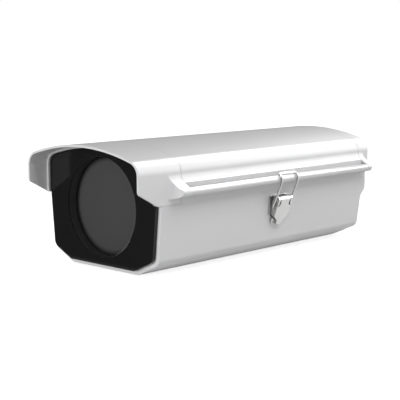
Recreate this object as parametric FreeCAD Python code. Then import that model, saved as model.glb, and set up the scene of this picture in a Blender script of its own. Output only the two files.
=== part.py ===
"""Outdoor security camera housing with a side-opening lid and a toggle latch.

Millimetres. X points to the latch side, Y from the front to the rear, Z up.
The origin is the centre of the bracket holes on the flat underside.
"""
import FreeCAD, Part
import math
import os

V = FreeCAD.Vector
os.makedirs("parts", exist_ok=True)

# Overall lines of the housing
hood_tip_y = -164.35        # front edge of the hood
lid_rear_y = 164.85         # rear end of the lid
base_front_y = -137.35      # face of the base's front rim
parting_z = 62.6            # where the hood meets the base
parting_gap = 0.12
front_seam_y = -115.0       # between the hood and the lid's middle
rear_seam_y = lid_rear_y - 18.45    # between the lid's middle and the rear cap
wall_top_z = parting_z + 10.4   # the base's walls rise to here behind the hood
wall_start_y = front_seam_y + 0.15  # front end of the raised walls

# Base casting, a drafted trough with chamfered lower edges
base_top_half = 72.0        # half width at the parting line
chamfer_half = base_top_half - 4.4  # half width at the top of the chamfer
chamfer_z = 12.1
floor_half = base_top_half - 29.7   # half width of the flat underside
base_wall = 2.4
chamfer_round_low = 5.0
chamfer_round_high = 7.0
front_rim = 9.0             # width of the frame that carries the window
front_rim_depth = 4.0
rim_ledge = 6.0             # width of the thickened top rim
rim_ledge_height = 4.3
rear_top_y = lid_rear_y - 4.0   # rear wall under the lid
rear_low_y = rear_top_y - 10.0  # rear wall at the underside
rear_step_low = (rear_low_y + 3.2, 43.0)
rear_step_high = (rear_top_y - 0.15, 50.0)
rear_bottom_round = 9.0
rear_step_round = 6.0
corner_round = 2.2          # upright corners at the rear

# Latch rod and its end bosses
rod_x = base_top_half + 8.8
rod_z = parting_z + 10.9
rod_r = 3.75
rod_clearance = 0.05
rod_seat = 7.0
boss_nose_r = 4.1
boss_taper = 2.2            # the front boss narrows by this at its face
boss_taper_run = 3.4
boss_low_z = rod_z - 6.7
boss_front_y = front_seam_y - 12.5
boss_rear_y = rear_seam_y + 8.0
boss_round = 4.0
boss_fillet = 4.0           # from the boss's face into the hood's side
boss_wall_gap = 0.7         # rear boss to the base wall it swings past
pocket_depth = 4.0          # the channel above the rod runs on into the rear boss

# Lid section, an arch on upright sides
lid_half = base_top_half
skirt_half = lid_half + 4.0     # outer face of the rain skirt
skirt_low_z = rod_z - 3.9       # hidden behind the rod
flange_z = rod_z + 7.5          # edge where the flare meets the skirt
flare_top_z = flange_z + 7.5    # where the concave flare leaves the side
crown_z = flare_top_z + 22.5
arch_r = 215.0
shoulder_r = 13.0
cover_wall = 2.2
hood_wall = 2.0
cap_wall = 2.4
seam_gap = 0.3
seal_web_half = base_top_half - 6.0     # inner edge of the web on the seal
seal_web_wall = 2.0
seal_height = 2.2
seal_half_out = base_top_half - 2.8
seal_half_in = base_top_half - 5.6
seal_gap = 0.3
port_r = 3.8                # screw ports inside the extruded cover
port_roof_x = 40.0
port_side_z = flare_top_z + 1.5

# Hood and rear cap
hood_corner_z = parting_z + 12.0    # lower front corner of the hood
hood_corner_round = 4.0
hood_slant_end_y = base_front_y - 4.6
hood_frame_wall = 2.0
hood_frame_gap = 1.05       # from the frame to the window bezel
hood_frame_width = 1.8
hood_frame_latch_x = lid_half - 10.5    # wide here to cover the swing gap
hood_frame_low_z = parting_z + 12.0     # the wide part ends above the view
ring_depth = 3.0            # inner rings that take the lid's long screws
ring_inset = 10.5
ring_low_z = wall_top_z + seal_height + seal_gap + seal_web_wall + 0.5
cap_gap = 0.3
cap_step_z = wall_top_z + 2.8
cap_full_z = wall_top_z + 7.0
cap_step_round = 3.0

# Window
bezel_wall = 3.0
bezel_seal_wall = 1.0
bezel_front_y = base_front_y - bezel_seal_wall - bezel_wall
bezel_inset = 3.85          # rim of the base left showing round the bezel
bezel_roof_gap = 1.9
window_z = 55.3
window_r = 44.3
window_tube_wall = 3.2
window_recess = 9.5         # from the bezel's face to the glass seat
window_step = 2.4           # width of the seat that the glass lies against
glass_wall = 3.0
glass_gasket_wall = 1.0
retainer_depth = 2.5
retainer_width = 3.4
window_fit = 0.2

# Hinges on the far side from the latch
hinge_x = -base_top_half - 7.5
hinge_z = parting_z + 3.4
hinge_length = 40.0
hinge_centres = (-72.0, 104.0)
knuckle_r = 3.0
hinge_pin_r = 1.6
hinge_fit = 0.05
knuckle_gap = 0.4
leaf_wall = 2.0
leaf_low = 17.0             # base leaf's edges, down the wall from its top
leaf_high = 3.0
leaf_round = 3.0
lid_leaf_top_z = 80.4
pin_head_rise = 0.7         # rivet head beyond the pin
pin_head_wall = 1.2
pin_head_gap = 0.4          # from the outer knuckle to the head

# Toggle latch, half way along the rod
latch_y = 15.45
pivot_x = base_top_half + 6.6
pivot_z = parting_z - 8.4
latch_pin_r = 1.55
pin_fit = 0.05
lever_lean = 20.0           # degrees that the closed lever leans in at its tip
barrel_r = 3.2
lever_half = 10.0
lever_wall = 1.4
lever_length = 24.8
lever_tip_half = 3.65
lever_taper_top = 14.5      # down the lever from the pivot
lever_taper_low = 20.5
flank_low_z = pivot_z - 14.4    # where the flank leaves the plate
flank_plate_gap = 0.4
ear_inner = 6.3
ear_wall = 1.3
ear_r = 3.0
ear_slot_gap = 0.3          # slots that the ears pass through, each side
slot_low = 4.6              # how far below the pivot the slots reach
slot_hook = (1.0, 1.6, 1.05)    # J end: sideways, down, radius
latch_plate_wall = 1.5
latch_plate_half = 12.4
latch_plate_top = 4.5       # the plate's edges, down the wall from its top
latch_plate_low = 22.5
latch_tongue_top = 26.0
latch_tongue_low = 32.0
latch_tongue_half = 8.6
latch_screw_half = 5.9
latch_screw_low = 27.0
latch_screw_high = 13.5
ear_foot = 1.6              # the ears widen by this down to the plate
flank_low_down = lever_taper_low - 3.8  # where the flank's low edge meets the face
wire_r = 0.95
bail_half = lever_half + 1.85
bail_pivot_x = pivot_x - 3.0
bail_pivot_z = pivot_z - 7.2
bail_top_x = rod_x + 1.5
bail_top_z = rod_z + 5.3
bail_clearance = 0.3        # from the wire to the outside of the rod
bail_knee_z = rod_z - 3.7

# Camera plate and what stands on the floor
bracket_spacing_x = 50.0
bracket_spacing_y = 70.0
bracket_hole_r = 2.5
bracket_hole_depth = 9.0
bracket_boss_r = 6.5
bracket_boss_z = 11.6
plate_post_x = 24.0
plate_post_r = 5.0
plate_z = 14.0
plate_wall = 2.0
plate_half_x = 34.0
plate_half_y = rear_low_y - 40.85
plate_post_y = plate_half_y - 12.0
plate_lip = 5.0
slot_half = 3.4
slot_end_gap = 35.0         # from the long slot to the plate's end
slot_spacing = 14.0
side_slot_short = 20.0      # side slots end this much sooner
camera_screw_y = -20.0
board_z = 10.0
board_wall = 1.6
board_half_x = 40.0
board_rear_y = rear_low_y - 9.85
board_front_y = board_rear_y - 23.0
board_post_inset = 4.0
knob_r = 8.0                # head of the screw that holds the camera
knob_low_z = 6.8
knob_grooves = 16
camera_shank_r = 3.1
camera_shank_rise = 6.0     # thread standing above the plate
washer_r = 7.5
washer_wall = 1.2
block_pitch = 5.5           # one terminal way
block_ways = 4
block_starts = (-28.0, 6.0)
block_depth = 9.0
block_height = 9.5
block_shoulder = 6.0        # height and setback of the slanted shoulders
block_slant = 2.5
block_inset = 6.0           # from the board's front edge

# Cable glands in the recessed part of the rear wall
gland_x = 24.0
gland_z = 25.0
gland_thread_r = 8.0
gland_hex_flats = 19.0
gland_bore_r = 5.5
gland_flange_r = 11.2
gland_pad = 1.0             # cast pad proud of the drafted rear wall
cable_r = 3.5
gland_flange_wall = 1.5
gland_hex_depth = 5.0
gland_nut_depth = 4.7
gland_nut_gap = 0.3
gland_dome = 6.0
gland_dome_r = 6.4
gland_sleeve_r = 7.6
gland_lock_wall = 3.4

# Screws, by nominal thread
m3 = {"shank": 1.45, "core": 1.5, "pass": 1.7, "head": 2.8, "head_height": 2.2}
m3_low = {**m3, "head": 2.6, "head_height": 1.2}
m4 = {"shank": 1.65, "core": 1.7, "pass": 2.2, "head": 3.8, "head_height": 2.6}

wall_slope = (base_top_half - chamfer_half) / (parting_z - chamfer_z)
wall_angle = math.degrees(math.atan(wall_slope))
beyond = 30.0               # how far cutting shapes run past a face
far = 250.0                 # reach of the blocks that cut off all past a plane


def wall_x(z):
    """Outer face of the base's side wall at a height."""
    return base_top_half - (parting_z - z) * wall_slope


def section(y):
    """Place a point of the cross section."""
    return lambda x, z: V(x, y, z)


def side(x):
    """Place a point of the side view."""
    return lambda y, z: V(x, y, z)


def plan(z):
    """Place a point of the plan."""
    return lambda x, y: V(x, y, z)


def rounded(points):
    """Closed run of segments through points (u, v) or (u, v, corner radius)."""
    runs = []
    count = len(points)
    starts = []
    ends = []
    for i, point in enumerate(points):
        corner = V(point[0], point[1], 0)
        radius = point[2] if len(point) > 2 else 0
        before = V(*points[i - 1][:2], 0)
        after = V(*points[(i + 1) % count][:2], 0)
        if radius <= 0:
            starts.append(corner)
            ends.append(corner)
            runs.append(None)
            continue
        back = (before - corner).normalize()
        ahead = (after - corner).normalize()
        half_angle = back.getAngle(ahead) / 2
        reach = radius / math.tan(half_angle)
        bisector = (back + ahead).normalize()
        middle = corner + bisector * (radius / math.sin(half_angle) - radius)
        starts.append(corner + back * reach)
        ends.append(corner + ahead * reach)
        runs.append(middle)
    segments = []
    for i in range(count):
        if runs[i] is not None:
            segments.append([(p.x, p.y) for p in (starts[i], runs[i], ends[i])])
        follow = starts[(i + 1) % count]
        if (follow - ends[i]).Length > 1e-6:
            segments.append([(ends[i].x, ends[i].y), (follow.x, follow.y)])
    return segments


def face(segments, place):
    """Flat face inside a closed run of lines (two points) and arcs (three points)."""
    edges = []
    for segment in segments:
        points = [place(*point) for point in segment]
        if len(points) == 2:
            edges.append(Part.makeLine(points[0], points[1]))
        else:
            edges.append(Part.Arc(*points).toShape())
    return Part.Face(Part.Wire(edges))


def along_y(segments, y0, y1):
    return face(segments, section(y0)).extrude(V(0, y1 - y0, 0))


def along_x(segments, x0, x1):
    return face(segments, side(x0)).extrude(V(x1 - x0, 0, 0))


def along_z(segments, z0, z1):
    return face(segments, plan(z0)).extrude(V(0, 0, z1 - z0))


def shifted(points, distance):
    """Polygon with its sides moved inwards; points run anticlockwise."""
    moved = []
    count = len(points)
    for i in range(count):
        here = V(points[i][0], points[i][1], 0)
        back = (here - V(points[i - 1][0], points[i - 1][1], 0)).normalize()
        ahead = (V(points[(i + 1) % count][0], points[(i + 1) % count][1], 0) - here).normalize()
        n1 = V(-back.y, back.x, 0)
        n2 = V(-ahead.y, ahead.x, 0)
        step = (n1 + n2) * (distance / (1 + n1.dot(n2)))
        radius = points[i][2] if len(points[i]) > 2 else 0
        moved.append((here.x + step.x, here.y + step.y, radius))
    return moved


def mirrored(segments):
    """The same run on the other side of the middle plane, in reverse order."""
    return [[(-x, z) for x, z in reversed(s)] for s in reversed(segments)]


def block(x0, x1, y0, y1, z0, z1):
    return Part.makeBox(x1 - x0, y1 - y0, z1 - z0, V(x0, y0, z0))


def rod_y(radius, y0, y1, x, z):
    return Part.makeCylinder(radius, y1 - y0, V(x, y0, z), V(0, 1, 0))


def post(radius, z0, z1, x, y):
    return Part.makeCylinder(radius, z1 - z0, V(x, y, z0), V(0, 0, 1))


def tube_y(r_out, r_in, y0, y1, x, z):
    return rod_y(r_out, y0, y1, x, z).cut(rod_y(r_in, y0 - 1, y1 + 1, x, z))


def joined(shapes):
    whole = shapes[0].fuse(shapes[1:]) if len(shapes) > 1 else shapes[0]
    return whole.removeSplitter()


def pan_screw(size, length, at, along):
    """Pan head screw: the head's underside lies at the point, the shank runs along."""
    head_h = size["head_height"]
    crown = head_h * 0.35
    outline = [
        [(0, -head_h), (size["head"] - crown, -head_h)],
        [(size["head"] - crown, -head_h), (size["head"] - crown * 0.29, -head_h + crown * 0.29),
         (size["head"], -head_h + crown)],
        [(size["head"], -head_h + crown), (size["head"], 0)],
        [(size["head"], 0), (size["shank"], 0)],
        [(size["shank"], 0), (size["shank"], length - 0.6)],
        [(size["shank"], length - 0.6), (size["shank"] - 0.6, length)],
        [(size["shank"] - 0.6, length), (0, length)],
        [(0, length), (0, -head_h)],
    ]
    body = face(outline, section(0)).revolve(V(0, 0, 0), V(0, 0, 1), 360)
    recess = size["head"] * 0.9
    arm = size["head"] * 0.26
    for turn in (0, 90):
        bar = block(-recess / 2, recess / 2, -arm / 2, arm / 2, -head_h - 1, -head_h * 0.45)
        bar.rotate(V(0, 0, 0), V(0, 0, 1), turn)
        body = body.cut(bar)
    turn = FreeCAD.Rotation(V(0, 0, 1), along)
    body.Placement = FreeCAD.Placement(at, turn)
    return body


def save(name, shapes):
    """Write one node; several solids stay separate in it."""
    solids = []
    for shape in shapes:
        if not shape.isValid():
            print("not valid:", name)
        solids.extend(shape.Solids)
    node = solids[0] if len(solids) == 1 else Part.makeCompound(solids)
    node.exportStep("parts/" + name + ".step")
    print(f"{name:20s} solids {len(solids):2d}  faces {len(node.Faces):3d}"
          f"  volume {node.Volume / 1000:8.2f} cm3")


def arch_points(inset):
    """Crown, end of the arch, middle of the shoulder and its foot, moved inwards."""
    arch_z = crown_z - arch_r
    centre_x = lid_half - shoulder_r
    centre_z = arch_z + math.sqrt((arch_r - shoulder_r) ** 2 - centre_x ** 2)
    slope = math.atan2(centre_z - arch_z, centre_x)
    radius = arch_r - inset
    end = (radius * math.cos(slope), arch_z + radius * math.sin(slope))
    bend = shoulder_r - inset
    middle = (centre_x + bend * math.cos(slope / 2), centre_z + bend * math.sin(slope / 2))
    foot = (centre_x + bend, centre_z)
    return (0, crown_z - inset), end, middle, foot


def flare_points(inset):
    """Concave flare from the lid's side out to the skirt."""
    reach = skirt_half - lid_half
    drop = flare_top_z - flange_z
    radius = (drop ** 2 + reach ** 2) / (2 * reach)
    centre = (lid_half + radius, flare_top_z)
    full = radius + inset
    turn = math.acos((centre[0] - skirt_half + inset) / full)
    return [(centre[0] - full * math.cos(a), centre[1] - full * math.sin(a))
            for a in (0, turn / 2, turn)]


def lid_outline(inset, low_z, flared):
    """Closed lid section, open side down, moved inwards by the inset."""
    crown, end, middle, foot = arch_points(inset)
    right = [[end, middle, foot]]
    if flared:
        start, bend, edge = flare_points(inset)
        right.append([foot, start])
        right.append([start, bend, edge])
        right.append([edge, (edge[0], low_z)])
    else:
        right.append([foot, (foot[0], low_z)])
    low = right[-1][-1]
    arch = [[(-end[0], end[1]), crown, end]]
    return mirrored(right) + arch + right + [[low, (-low[0], low_z)]]


def base_polygon():
    """Drafted trough section, its sides run on upright above the parting line."""
    high = parting_z + beyond
    right = [
        (floor_half, 0, chamfer_round_low), (chamfer_half, chamfer_z, chamfer_round_high),
        (base_top_half, parting_z), (base_top_half, high),
    ]
    return right + [(-point[0], *point[1:]) for point in reversed(right)]


def base_side(front_y, top_z):
    """Side view of the base with its stepped rear wall."""
    return [
        (front_y, 0), (rear_low_y, 0, rear_bottom_round),
        (*rear_step_low, rear_step_round), (*rear_step_high, rear_step_round),
        (rear_top_y, top_z), (front_y, top_z),
    ]


def base_plan(front_y):
    half = base_top_half
    return [
        (-half, front_y), (half, front_y), (half, rear_top_y, corner_round),
        (-half, rear_top_y, corner_round),
    ]


def base_form(inset, front_y, top_z):
    """Common solid of the section, the side view and the plan."""
    trough = along_y(rounded(shifted(base_polygon(), inset)), front_y, lid_rear_y)
    low = shifted(base_side(front_y, parting_z + beyond), inset)
    low[0] = (front_y, low[0][1])
    low[-1] = (front_y, parting_z + beyond)
    low[-2] = (low[-2][0], parting_z + beyond)
    form = trough.common(along_x(rounded(low), -far, far))
    ground = shifted(base_plan(front_y), inset)
    ground[0] = (ground[0][0], front_y)
    ground[1] = (ground[1][0], front_y)
    form = form.common(along_z(rounded(ground), -1, parting_z + beyond + 1))
    return form.common(block(-far, far, front_y, lid_rear_y, -1, top_z))


def gland_places():
    return [-gland_x, gland_x]


def rear_wall_y(z):
    """Outer face of the rear wall below its step."""
    share = z / rear_step_low[1]
    return rear_low_y + (rear_step_low[0] - rear_low_y) * share


def corners(spacing_x, spacing_y):
    return [(i * spacing_x, j * spacing_y) for i in (-1, 1) for j in (-1, 1)]


bracket_places = corners(bracket_spacing_x / 2, bracket_spacing_y / 2)
plate_places = corners(plate_post_x, plate_post_y)
board_post_x = board_half_x - board_post_inset
board_places = [(x, y) for x in (-board_post_x, board_post_x)
                for y in (board_front_y + board_post_inset, board_rear_y - board_post_inset)]
earth_place = (41.0, 62.0)
earth_z = 9.0
earth_post_r = 4.5
board_post_r = 3.2
base_top_z = parting_z - parting_gap
seal_top_z = wall_top_z + seal_height
web_z = seal_top_z + seal_gap
gland_face_y = rear_wall_y(gland_z + gland_flange_r) + gland_pad
bezel_screw_inset = 6.6
bezel_screws = [(-26.0, bezel_screw_inset), (26.0, bezel_screw_inset)]
bezel_side_z = 44.0
for sign in (-1, 1):
    bezel_screws.append((sign * (wall_x(bezel_side_z) - bezel_screw_inset), bezel_side_z))


def latch_screw_places():
    """Two screws in the plate's tongue and one under the lever, down the wall."""
    return [(latch_y - latch_screw_half, -latch_screw_low),
            (latch_y + latch_screw_half, -latch_screw_low), (latch_y, -latch_screw_high)]


def on_wall(shape, mirror=False):
    """Carry a shape drawn on an upright wall at X 0, Z 0 to the drafted wall's top edge."""
    moved = shape.copy()
    moved.rotate(V(0, 0, 0), V(0, 1, 0), wall_angle)
    moved.translate(V(base_top_half, 0, parting_z))
    if mirror:
        moved = moved.mirror(V(0, 0, 0), V(1, 0, 0))
    return moved


def wall_screw(size, length, y, z, lift, mirror=False):
    """Screw driven square into the side wall, its head lifted by a plate's thickness."""
    screw = pan_screw(size, length, V(lift, y, z), V(-1, 0, 0))
    return on_wall(screw, mirror)


def wall_hole(radius, y, z, mirror=False):
    """Drill that goes through one side wall only."""
    drill = Part.makeCylinder(radius, 2 * beyond, V(-beyond, y, z), V(1, 0, 0))
    return on_wall(drill, mirror)


def hinge_screw_ys(centre):
    return [centre - hinge_length / 4, centre + hinge_length / 4]


leaf_screw_z = -10.0        # down the wall from the parting line
lid_leaf_screw_z = 74.4


def base_tray():
    """One casting: trough, front rim, raised walls with a top rim, posts and pads."""
    cavity_y = base_front_y + front_rim_depth
    outer = base_form(0, base_front_y, wall_top_z)
    outer = outer.cut(block(-far, far, -far, wall_start_y, base_top_z, far))
    gland_pads = [rod_y(gland_flange_r + 1.3, rear_low_y - 6, gland_face_y, x, gland_z)
                  for x in gland_places()]
    outer = outer.fuse(gland_pads)
    cavity = base_form(base_wall, cavity_y, wall_top_z + 1)
    room = base_form(rim_ledge, cavity_y, wall_top_z + 1)
    low_z = base_top_z - rim_ledge_height
    high_z = wall_top_z - rim_ledge_height
    front_part = block(-far, far, -far, wall_start_y, low_z, far)
    rear_part = block(-far, far, wall_start_y, far, high_z, far)
    rim = cavity.cut(room).common(front_part.fuse(rear_part))
    mouth = along_y(rounded(shifted(base_polygon(), front_rim)), base_front_y - 1, cavity_y + 1)
    tube_way = rod_y(window_r + window_tube_wall + 0.8, base_front_y - 1, cavity_y + 1,
                     0, window_z)
    tray = outer.cut(cavity.cut(rim)).cut([mouth, tube_way])
    foot_z = base_wall - 1
    stands = [post(bracket_boss_r, foot_z, bracket_boss_z, x, y) for x, y in bracket_places]
    stands += [post(plate_post_r, foot_z, plate_z, x, y) for x, y in plate_places]
    stands += [post(board_post_r, foot_z, board_z, x, y) for x, y in board_places]
    stands.append(post(earth_post_r, foot_z, earth_z, *earth_place))
    tray = tray.fuse(stands).removeSplitter()
    drills = [post(bracket_hole_r, -1, bracket_hole_depth, x, y) for x, y in bracket_places]
    drills += [post(m4["core"], base_wall + 1.5, plate_z + 1, x, y) for x, y in plate_places]
    drills += [post(m3["core"], base_wall + 1, board_z + 1, x, y) for x, y in board_places]
    drills.append(post(m4["core"], base_wall + 1, earth_z + 1, *earth_place))
    drills += [rod_y(gland_thread_r + 0.1, rear_low_y - 12, gland_face_y + 1, x, gland_z)
               for x in gland_places()]
    drills += [rod_y(m3["pass"], base_front_y - 1, cavity_y + 1, x, z)
               for x, z in bezel_screws]
    drills += [wall_hole(m3["core"], y, z) for y, z in latch_screw_places()]
    for centre in hinge_centres:
        drills += [wall_hole(m4["core"], y, leaf_screw_z, True)
                   for y in hinge_screw_ys(centre)]
    return tray.cut(drills)


def swing_limit(y0, y1):
    """Everything that the latch side of the opening lid passes outside of."""
    reach = (base_top_half - bezel_inset) - hinge_x - 0.4
    return rod_y(reach, y0, y1, hinge_x, hinge_z)


def window_bezel():
    """Gloss moulding: flat plate, round recess and the tube that holds the glass."""
    back_y = bezel_front_y + bezel_wall
    lower = along_y(rounded(shifted(base_polygon(), bezel_inset)), bezel_front_y, back_y)
    lower = lower.common(block(-far, far, -far, far, -1, parting_z))
    upper = along_y(lid_outline(hood_wall + bezel_roof_gap, parting_z, False),
                    bezel_front_y, back_y)
    upper = upper.common(swing_limit(bezel_front_y, back_y))
    seat_y = bezel_front_y + window_recess
    end_y = seat_y + glass_gasket_wall + glass_wall + retainer_depth
    tube = rod_y(window_r + window_tube_wall, back_y - 1, end_y, 0, window_z)
    plate = joined([lower, upper, tube])
    plate = plate.cut(rod_y(window_r, bezel_front_y - 1, end_y + 1, 0, window_z))
    plate = plate.cut(rod_y(window_r + window_step, seat_y, end_y + 1, 0, window_z))
    holes = [rod_y(m3["core"], back_y - 2.2, back_y + 1, x, z) for x, z in bezel_screws]
    return plate.cut(holes)


def window_parts():
    """Bezel seal, glass gasket, glass and the threaded retaining ring."""
    back_y = bezel_front_y + bezel_wall
    seal = along_y(rounded(shifted(base_polygon(), bezel_inset + 0.4)), back_y, base_front_y)
    seal = seal.cut(along_y(rounded(shifted(base_polygon(), front_rim - 0.3)),
                            back_y - 1, base_front_y + 1))
    seal = seal.cut(rod_y(window_r + window_tube_wall + 1.1, back_y - 1, base_front_y + 1,
                          0, window_z))
    seal = seal.common(block(-far, far, -far, 0, 0, parting_z - 1))
    seal = seal.cut([rod_y(m3["pass"], back_y - 1, base_front_y + 1, x, z)
                     for x, z in bezel_screws])
    seat_y = bezel_front_y + window_recess
    glass_y = seat_y + glass_gasket_wall
    ring_y = glass_y + glass_wall
    r_fit = window_r + window_step - window_fit
    gasket = tube_y(r_fit, window_r + 0.3, seat_y, glass_y, 0, window_z)
    glass = rod_y(r_fit, glass_y, ring_y, 0, window_z)
    ring = tube_y(r_fit, r_fit - retainer_width, ring_y, ring_y + retainer_depth, 0, window_z)
    notch = block(-1.5, 1.5, ring_y + 1, ring_y + retainer_depth + 1,
                  window_z - 60, window_z + 60)
    ring = ring.cut(notch)
    return seal, gasket, glass, ring


def port_places():
    """Screw ports of the extruded cover, on the roof and on the sides."""
    sink = cap_wall + m3["head"] + 0.3
    roof_z = crown_z - arch_r + math.sqrt(arch_r ** 2 - port_roof_x ** 2) - sink
    right = [(port_roof_x, roof_z), (lid_half - sink, port_side_z)]
    return right + [(-x, z) for x, z in right]


def lid_cover():
    """Extruded middle of the lid: arch, flares, rain skirts, seal webs and screw ports."""
    y0 = front_seam_y + seam_gap / 2
    y1 = rear_seam_y - seam_gap / 2
    outer = along_y(lid_outline(0, skirt_low_z, True), y0, y1)
    inner = along_y(lid_outline(cover_wall, skirt_low_z - 1, True), y0 - 1, y1 + 1)
    shell = outer.cut(inner)
    adds = [rod_y(port_r, y0, y1, x, z) for x, z in port_places()]
    for sign in (-1, 1):
        x0, x1 = sorted((sign * seal_web_half, sign * (skirt_half - cover_wall / 2)))
        adds.append(block(x0, x1, y0, y1, web_z, web_z + seal_web_wall))
    shell = joined([shell] + adds)
    drills = [rod_y(m3["core"], y0 - 1, y1 + 1, x, z) for x, z in port_places()]
    for centre in hinge_centres:
        drills += [Part.makeCylinder(m3["core"], 10, V(-skirt_half - 5, y, lid_leaf_screw_z),
                                     V(1, 0, 0)) for y in hinge_screw_ys(centre)]
    return shell.cut(drills)


def base_seal():
    """Rubber strip on the base's top rim, along both sides and round the rear."""
    outer = base_form(base_top_half - seal_half_out, front_seam_y, seal_top_z)
    inner = base_form(base_top_half - seal_half_in, front_seam_y - 1, seal_top_z + 1)
    strip = outer.cut(inner)
    return strip.common(block(-far, far, wall_start_y + 2, far, wall_top_z, seal_top_z))


def boss(y0, y1):
    """Rod boss on a casting's side, with the cover's flare over a round nose."""
    start, bend, edge = flare_points(0)
    inner_x = lid_half - 1.5
    angles = (58, -10, -82)
    nose = [(rod_x + boss_nose_r * math.cos(math.radians(a)),
             rod_z + boss_nose_r * math.sin(math.radians(a))) for a in angles]
    outline = [
        [start, bend, edge], [edge, nose[0]], nose, [nose[2], (inner_x, boss_low_z)],
        [(inner_x, boss_low_z), (inner_x, start[1])], [(inner_x, start[1]), start],
    ]
    return along_y(outline, y0, y1)


def ring(y0, y1):
    """Inner ring of a casting, screwed to the cover's ports."""
    band = along_y(lid_outline(hood_wall - 0.4, ring_low_z, False), y0, y1)
    band = band.cut(along_y(lid_outline(ring_inset, ring_low_z - 1, False), y0 - 1, y1 + 1))
    return band.cut([rod_y(m3["pass"], y0 - 1, y1 + 1, x, z) for x, z in port_places()])


def hood():
    """Front casting: the hood over the window, with its inner frame and rod boss."""
    y1 = front_seam_y - seam_gap / 2
    outer = along_y(lid_outline(0, parting_z - 1, False), hood_tip_y, y1)
    inner = along_y(lid_outline(hood_wall, parting_z - 2, False), hood_tip_y - 1, y1 + 1)
    shell = outer.cut(inner)
    frame_y1 = bezel_front_y - hood_frame_gap
    frame_y0 = frame_y1 - hood_frame_wall
    frame = along_y(lid_outline(hood_wall - 0.4, parting_z - 1, False), frame_y0, frame_y1)
    view = along_y(lid_outline(hood_wall + hood_frame_width, parting_z - 2, False),
                   frame_y0 - 1, frame_y1 + 1)
    narrow = [block(-far, hood_frame_latch_x, -far, 0, 0, far),
              block(0, far, -far, 0, 0, hood_frame_low_z)]
    frame = frame.cut([view.common(part) for part in narrow])
    profile = rounded([
        (hood_tip_y, hood_corner_z, hood_corner_round), (hood_slant_end_y, parting_z),
        (y1, parting_z), (y1, crown_z + 1), (hood_tip_y, crown_z + 1),
    ])
    shape = joined([shell, frame, ring(y1 - ring_depth, y1)])
    shape = shape.common(along_x(profile, -far, far))
    start_y = boss_front_y - boss_fillet
    nose = boss(start_y, y1).cut(rod_y(rod_r + rod_clearance, y1 - rod_seat, y1 + 1,
                                       rod_x, rod_z))
    bend = boss_fillet * (1 - math.sqrt(0.5))
    inner_x = lid_half - hood_wall
    full_x = rod_x + boss_nose_r + 0.1
    trim = along_z([
        [(inner_x, start_y), (lid_half, start_y)],
        [(lid_half, start_y), (lid_half + bend, boss_front_y - bend),
         (lid_half + boss_fillet, boss_front_y)],
        [(lid_half + boss_fillet, boss_front_y), (full_x - boss_taper, boss_front_y)],
        [(full_x - boss_taper, boss_front_y), (full_x, boss_front_y + boss_taper_run)],
        [(full_x, boss_front_y + boss_taper_run), (full_x, y1)],
        [(full_x, y1), (inner_x, y1)],
        [(inner_x, y1), (inner_x, start_y)],
    ], boss_low_z - 1, crown_z)
    return joined([shape, nose.common(trim)])


def rear_cap():
    """Rear casting: closes the lid's end, with the rod's rear boss."""
    y0 = rear_seam_y + seam_gap / 2
    low_z = wall_top_z + cap_gap
    profile = [
        (y0, low_z), (rear_top_y, low_z), (rear_top_y + 0.2, cap_step_z, cap_step_round),
        (lid_rear_y, cap_full_z, cap_step_round), (lid_rear_y, crown_z + 5), (y0, crown_z + 5),
    ]
    ground = [
        (-lid_half, y0), (lid_half, y0), (lid_half, lid_rear_y, corner_round),
        (-lid_half, lid_rear_y, corner_round),
    ]
    outer = along_y(lid_outline(0, low_z, False), y0, lid_rear_y)
    outer = outer.common(along_x(rounded(profile), -far, far))
    outer = outer.common(along_z(rounded(ground), 0, far))
    hollow = shifted(profile, cap_wall)
    hollow = [(y0 - 1, low_z - 1), (hollow[1][0], low_z - 1), hollow[2], hollow[3],
              (hollow[4][0], crown_z + 5), (y0 - 1, crown_z + 5)]
    room = shifted(ground, cap_wall)
    room = [(room[0][0], y0 - 1), (room[1][0], y0 - 1), room[2], room[3]]
    inner = along_y(lid_outline(cap_wall, low_z - 1, False), y0 - 1, lid_rear_y)
    inner = inner.common(along_x(rounded(hollow), -far, far))
    inner = inner.common(along_z(rounded(room), 0, far))
    nose_x = rod_x + boss_nose_r + 0.1
    nose = boss(y0, boss_rear_y).cut(rod_y(rod_r + rod_clearance, y0 - 1, y0 + rod_seat,
                                           rod_x, rod_z))
    trim = along_z(rounded([
        (lid_half - 2, y0), (nose_x, y0), (nose_x, boss_rear_y, boss_round),
        (lid_half - 2, boss_rear_y)]), 0, far)
    nose = nose.common(trim).cut(block(0, base_top_half + boss_wall_gap, y0 - 1, far,
                                       50, low_z))
    pocket = block(skirt_half - cover_wall, rod_x - rod_r / 2, y0 - 1, y0 + pocket_depth,
                   rod_z + 1.0, rod_z + boss_nose_r)
    nose = nose.cut(pocket)
    web = outer.common(block(-far, far, y0, far, web_z, web_z + seal_web_wall))
    web = web.cut(base_form(base_top_half - seal_web_half, y0 - 1, web_z + 10))
    return joined([outer.cut(inner), nose, ring(y0, y0 + ring_depth), web])


def latch_rod():
    y0 = front_seam_y - seam_gap / 2 - rod_seat + 0.3
    y1 = rear_seam_y + seam_gap / 2 + rod_seat - 0.3
    return rod_y(rod_r, y0, y1, rod_x, rod_z)


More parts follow.
